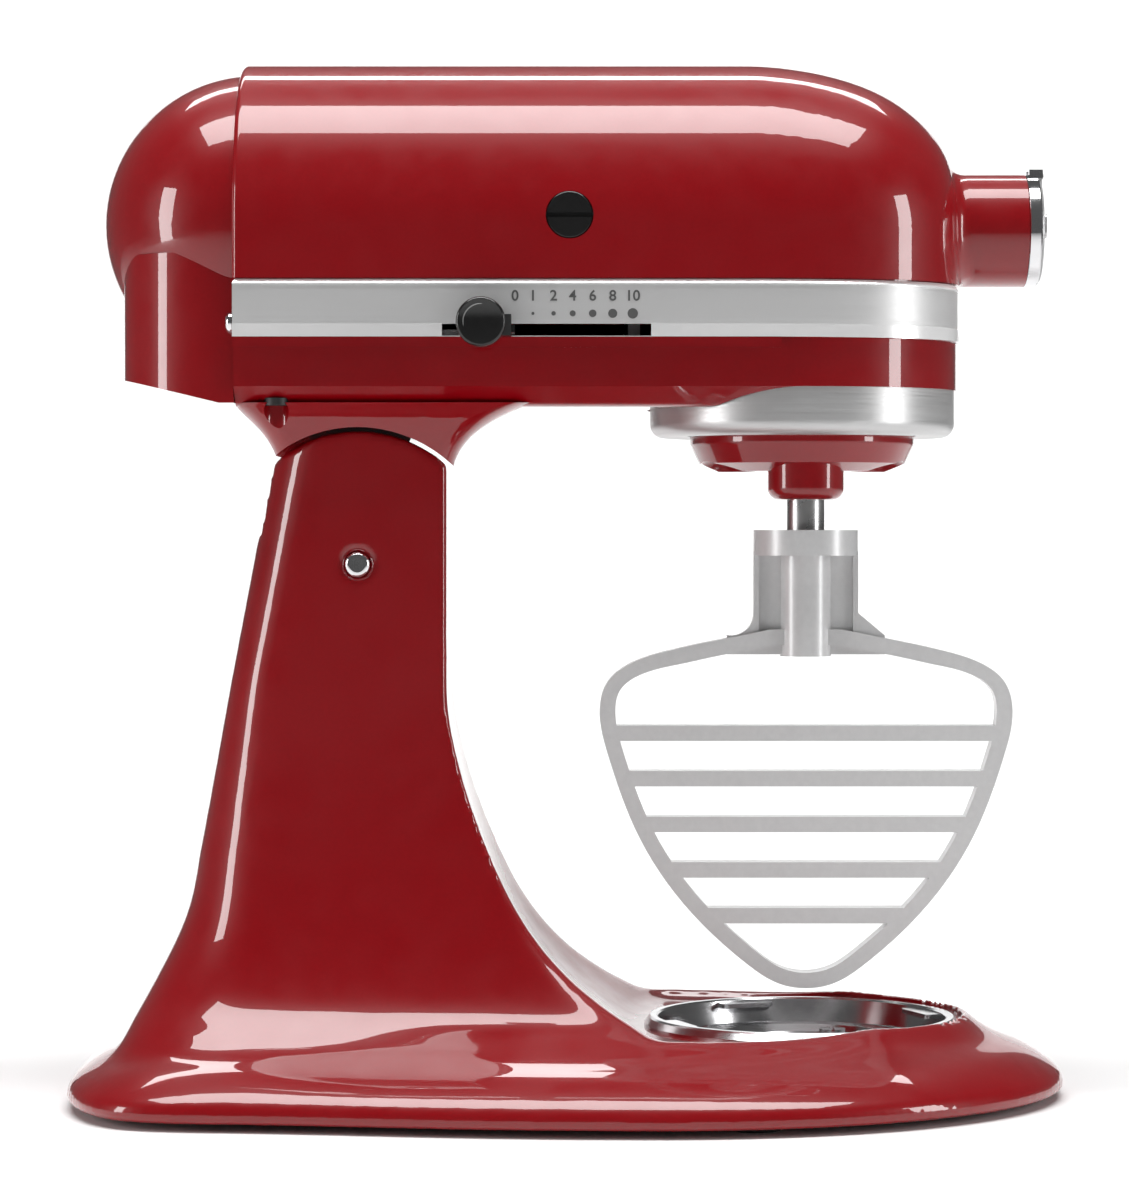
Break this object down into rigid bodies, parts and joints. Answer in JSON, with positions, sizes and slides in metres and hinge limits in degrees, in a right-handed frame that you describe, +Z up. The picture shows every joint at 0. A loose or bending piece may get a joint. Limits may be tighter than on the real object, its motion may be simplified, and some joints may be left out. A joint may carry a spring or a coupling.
{
  "type": "stand mixer",
  "caption": "Tilt-head stand mixer with a planetary flat beater, a bowl clamp plate, a speed lever and a front attachment hub.",
  "frame": {"origin": "centre of the bounding box at the table", "axes": "+X forward, towards the attachment hub; +Z up; -Y is the side with the speed lever"},
  "size_m": [0.34, 0.216, 0.3534],
  "materials": {
    "red_paint": "glossy",
    "rubber": "matte",
    "steel": "brushed",
    "chrome": "polished",
    "aluminium": "satin",
    "black_plastic": "glossy",
    "dark_plastic": "matte",
    "gear_steel": "machined",
    "brass": "machined",
    "copper": "enamelled",
    "green_board": "matte",
    "carbon": "matte"
  },
  "bodies": {
    "stand": {"pedestal_casting": "red_paint", "rubber_feet": "rubber", "tilt_pin": "chrome", "bowl_clamp_plate": "chrome", "clamp_plate_screws": "chrome"},
    "head": {"motor_housing": "red_paint", "gear_case": "red_paint", "rear_cover": "red_paint", "trim_band": "steel", "band_screws": "chrome", "case_screws": "black_plastic", "hub_bezel": "chrome", "hub_cover_pin": "chrome", "hub_bush": "brass", "drip_ring": "steel", "ring_gear": "gear_steel", "planetary_bearing": "gear_steel", "gear_bracket": "aluminium", "worm_wheel_bushes": "brass", "stator_core": "gear_steel", "field_coils": "copper", "motor_frame": "aluminium", "rear_bearing_bracket": "aluminium", "rotor_bearings": "gear_steel", "control_board": "green_board", "board_posts": "aluminium", "brush_holder_left": "dark_plastic", "brush_holder_right": "dark_plastic", "carbon_brush_left": "carbon", "carbon_brush_right": "carbon", "brush_cap_left": "black_plastic", "brush_cap_right": "black_plastic", "cord_gland": "rubber"},
    "rotor": {"rotor_shaft": "gear_steel", "rotor_core": "gear_steel", "rotor_windings": "copper", "commutator": "copper", "cooling_fan": "dark_plastic"},
    "worm_wheel": {"worm_wheel_shaft": "gear_steel", "worm_wheel": "brass"},
    "planetary": {"planetary_body": "red_paint", "planetary_shaft": "gear_steel", "centre_gear": "gear_steel"},
    "agitator": {"agitator_shaft": "gear_steel", "beater_pin": "gear_steel", "planet_pinion": "gear_steel"},
    "beater": {"flat_beater": "aluminium"},
    "hub_drive": {"hub_drive_shaft": "gear_steel", "hub_pinion": "gear_steel"},
    "hub_cover": {"hub_cover": "steel"},
    "attachment_knob": {"attachment_knob": "black_plastic"},
    "speed_control": {"speed_lever": "black_plastic"},
    "lock_lever": {"lock_lever": "black_plastic"},
    "control_plate": {"control_plate": "gear_steel"}
  },
  "joints": [
    {"name": "head_tilt", "type": "hinge", "parent": "stand", "child": "head", "pos_m": [-0.071, 0, 0.1825], "axis": [0, -1, 0], "range_deg": [0, 40]},
    {"name": "planetary_spin", "type": "hinge", "parent": "head", "child": "planetary", "pos_m": [0.08, 0, 0.23], "axis": [0, 0, 1], "continuous": true},
    {"name": "agitator_spin", "type": "hinge", "parent": "planetary", "child": "agitator", "pos_m": [0.08, -0.0225, 0.21], "axis": [0, 0, 1], "continuous": true},
    {"name": "worm_wheel_spin", "type": "hinge", "parent": "head", "child": "worm_wheel", "pos_m": [0.04218, 0.022, 0.28], "axis": [0, 0, 1], "continuous": true},
    {"name": "rotor_spin", "type": "hinge", "parent": "head", "child": "rotor", "pos_m": [0, 0, 0.2969], "axis": [1, 0, 0], "continuous": true},
    {"name": "hub_drive_spin", "type": "hinge", "parent": "head", "child": "hub_drive", "pos_m": [0.11, 0, 0.2969], "axis": [1, 0, 0], "continuous": true},
    {"name": "beater_lift", "type": "slide", "parent": "agitator", "child": "beater", "axis": [0, 0, 1], "range_m": [0, 0.0018]},
    {"name": "hub_cover_hinge", "type": "hinge", "parent": "head", "child": "hub_cover", "pos_m": [0.1612, 0, 0.3157], "axis": [0, -1, 0], "range_deg": [0, 105]},
    {"name": "attachment_knob_turn", "type": "hinge", "parent": "head", "child": "attachment_knob", "pos_m": [0.142, 0, 0.2969], "axis": [0, 1, 0], "range_deg": [-180, 180]},
    {"name": "speed_slide", "type": "slide", "parent": "head", "child": "speed_control", "axis": [1, 0, 0], "range_m": [0, 0.039]},
    {"name": "control_plate_slide", "type": "slide", "parent": "head", "child": "control_plate", "axis": [1, 0, 0], "range_m": [0, 0.0195]},
    {"name": "lock_lever_turn", "type": "hinge", "parent": "head", "child": "lock_lever", "pos_m": [-0.088, 0.0533, 0.2465], "axis": [0, 1, 0], "range_deg": [0, 25]}
  ],
  "couplings": [
    {"joint": "agitator_spin", "follows": "planetary_spin", "ratio": -3.4},
    {"joint": "worm_wheel_spin", "follows": "planetary_spin", "ratio": -4},
    {"joint": "rotor_spin", "follows": "planetary_spin", "ratio": 104},
    {"joint": "hub_drive_spin", "follows": "planetary_spin", "ratio": 2},
    {"joint": "control_plate_slide", "follows": "speed_slide", "ratio": 0.5}
  ]
}
